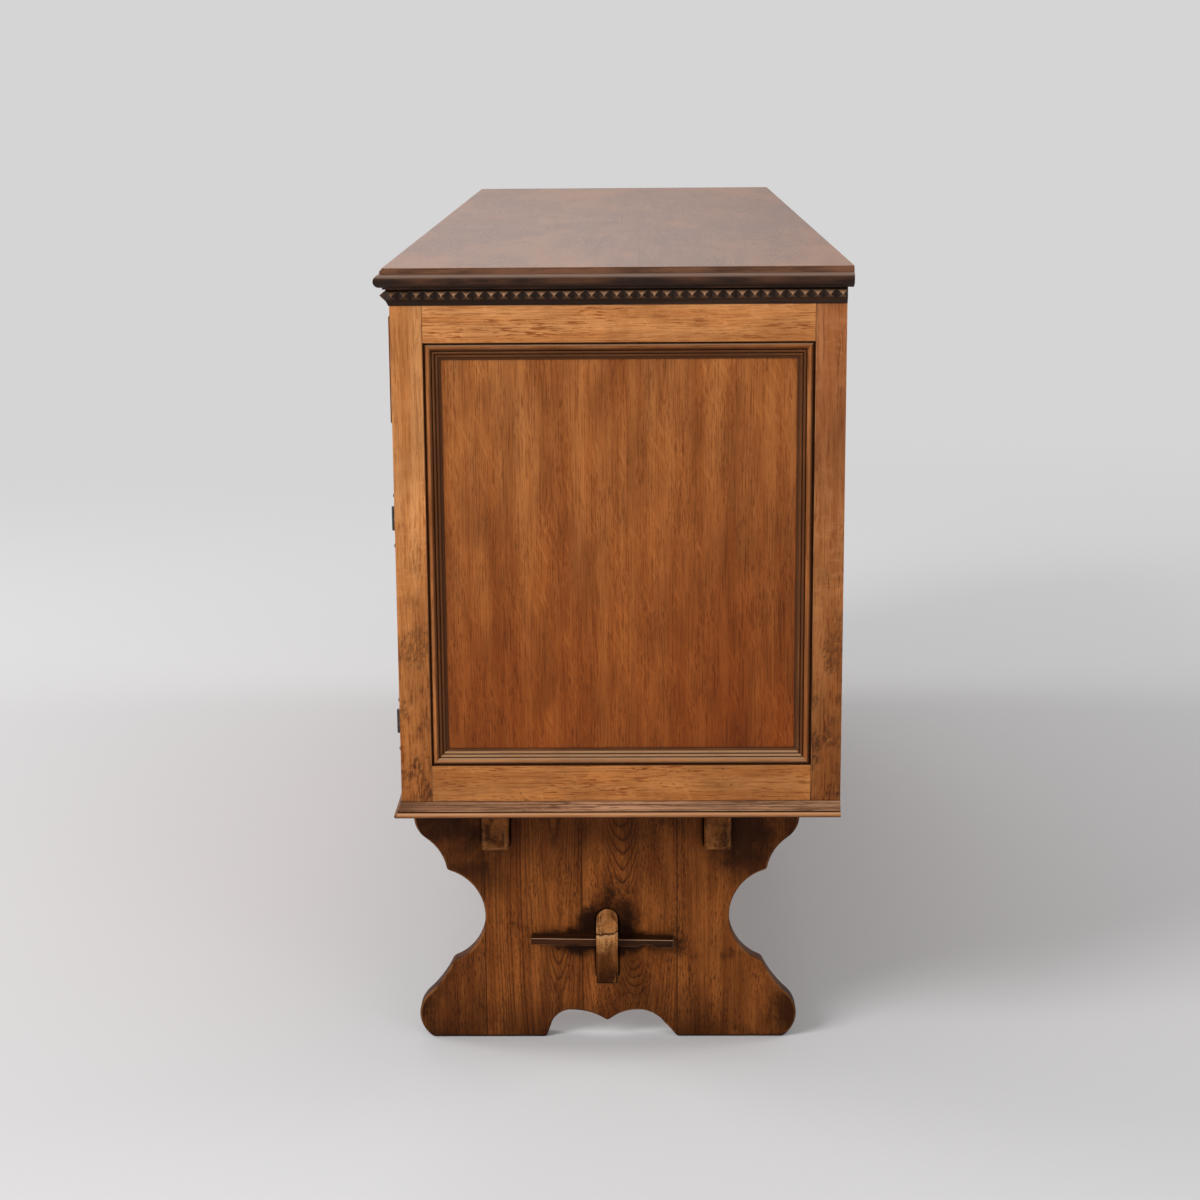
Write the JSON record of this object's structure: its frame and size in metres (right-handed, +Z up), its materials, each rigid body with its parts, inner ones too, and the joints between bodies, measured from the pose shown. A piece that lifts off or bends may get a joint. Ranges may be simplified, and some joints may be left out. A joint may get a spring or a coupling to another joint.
{
  "type": "sideboard",
  "caption": "Long oak sideboard on shaped trestle ends with a wedged stretcher: drawers over panelled cupboard doors, nailhead moulding, iron H-hinges and drop handles.",
  "frame": {"origin": "on the floor under the middle of the top, at the centre of the bottom of the bounding box", "axes": "X along the length with +X towards the right-hand end, -Y towards the front with its doors and drawers, +Z up"},
  "size_m": [1.71, 0.497, 0.88],
  "materials": {
    "oak_frame": "waxed honey oak, satin",
    "oak_panel": "oak veneer, satin",
    "oak_dark_moulding": "dark stained oak with rubbed edges",
    "oak_top": "polished oak, semi-gloss",
    "oak_trestle": "brown oak, waxed and worn",
    "oak_tenon_wedge": "dark oak, waxed",
    "oak_inside": "plain planed wood",
    "plywood_back": "stained plywood",
    "iron": "blackened iron"
  },
  "bodies": {
    "case": {"top_front_board": "oak_top", "top_back_board": "oak_top", "nailhead_moulding_front": "oak_dark_moulding", "nailhead_moulding_ends": "oak_dark_moulding", "base_moulding_front": "oak_dark_moulding", "base_moulding_ends": "oak_dark_moulding", "right_front_post": "oak_frame", "right_back_post": "oak_frame", "left_front_post": "oak_frame", "left_back_post": "oak_frame", "right_end_rails": "oak_frame", "right_end_panel": "oak_panel", "right_end_trim": "oak_dark_moulding", "left_end_rails": "oak_frame", "left_end_panel": "oak_panel", "left_end_trim": "oak_dark_moulding", "front_top_rail": "oak_frame", "front_middle_rails": "oak_frame", "front_bottom_rail": "oak_frame", "front_muntins": "oak_frame", "partitions": "oak_inside", "case_floor": "oak_inside", "back_rails": "oak_inside", "back_panel": "plywood_back", "shelves": "oak_inside", "shelf_cleats_and_door_stops": "oak_inside", "drawer_runners": "oak_inside", "right_trestle": "oak_trestle", "left_trestle": "oak_trestle", "bearers": "oak_trestle", "stretcher": "oak_trestle", "tenon_wedges": "oak_tenon_wedge", "hinge_fixed_leaves": "iron"},
    "left_drawer": {"left_drawer_front": "oak_frame", "left_drawer_box": "oak_inside", "left_drawer_plate": "iron"},
    "left_drawer_drop": {"left_drawer_drop": "iron"},
    "left_door": {"left_door_frame": "oak_frame", "left_door_panel": "oak_panel", "left_door_hinge_leaves": "iron", "left_door_plate": "iron"},
    "left_door_drop": {"left_door_drop": "iron"},
    "middle_drawer": {"middle_drawer_front": "oak_frame", "middle_drawer_box": "oak_inside", "middle_drawer_plate": "iron"},
    "middle_drawer_drop": {"middle_drawer_drop": "iron"},
    "middle_door": {"middle_door_frame": "oak_frame", "middle_door_panel": "oak_panel", "middle_door_hinge_leaves": "iron", "middle_door_plate": "iron"},
    "middle_door_drop": {"middle_door_drop": "iron"},
    "right_drawer": {"right_drawer_front": "oak_frame", "right_drawer_box": "oak_inside", "right_drawer_plate": "iron"},
    "right_drawer_drop": {"right_drawer_drop": "iron"},
    "right_door": {"right_door_frame": "oak_frame", "right_door_panel": "oak_panel", "right_door_hinge_leaves": "iron", "right_door_plate": "iron"},
    "right_door_drop": {"right_door_drop": "iron"}
  },
  "joints": [
    {"name": "left_drawer_slide", "type": "slide", "parent": "case", "child": "left_drawer", "axis": [0, -1, 0], "range_m": [0, 0.3]},
    {"name": "left_drawer_drop_swing", "type": "hinge", "parent": "left_drawer", "child": "left_drawer_drop", "pos_m": [-0.54333, -0.2417, 0.776], "axis": [-1, 0, 0], "range_deg": [0, 85]},
    {"name": "left_door_hinge", "type": "hinge", "parent": "case", "child": "left_door", "pos_m": [-0.79425, -0.2373, 0.495], "axis": [0, 0, -1], "range_deg": [0, 110]},
    {"name": "left_door_drop_swing", "type": "hinge", "parent": "left_door", "child": "left_door_drop", "pos_m": [-0.31817, -0.2417, 0.553], "axis": [-1, 0, 0], "range_deg": [0, 85]},
    {"name": "middle_drawer_slide", "type": "slide", "parent": "case", "child": "middle_drawer", "axis": [0, -1, 0], "range_m": [0, 0.3]},
    {"name": "middle_drawer_drop_swing", "type": "hinge", "parent": "middle_drawer", "child": "middle_drawer_drop", "pos_m": [0, -0.2417, 0.776], "axis": [-1, 0, 0], "range_deg": [0, 85]},
    {"name": "middle_door_hinge", "type": "hinge", "parent": "case", "child": "middle_door", "pos_m": [-0.25092, -0.2373, 0.495], "axis": [0, 0, -1], "range_deg": [0, 110]},
    {"name": "middle_door_drop_swing", "type": "hinge", "parent": "middle_door", "child": "middle_door_drop", "pos_m": [0.22517, -0.2417, 0.553], "axis": [-1, 0, 0], "range_deg": [0, 85]},
    {"name": "right_drawer_slide", "type": "slide", "parent": "case", "child": "right_drawer", "axis": [0, -1, 0], "range_m": [0, 0.3]},
    {"name": "right_drawer_drop_swing", "type": "hinge", "parent": "right_drawer", "child": "right_drawer_drop", "pos_m": [0.54333, -0.2417, 0.776], "axis": [-1, 0, 0], "range_deg": [0, 85]},
    {"name": "right_door_hinge", "type": "hinge", "parent": "case", "child": "right_door", "pos_m": [0.79425, -0.2373, 0.495], "axis": [0, 0, 1], "range_deg": [0, 110]},
    {"name": "right_door_drop_swing", "type": "hinge", "parent": "right_door", "child": "right_door_drop", "pos_m": [0.31817, -0.2417, 0.553], "axis": [-1, 0, 0], "range_deg": [0, 85]}
  ]
}
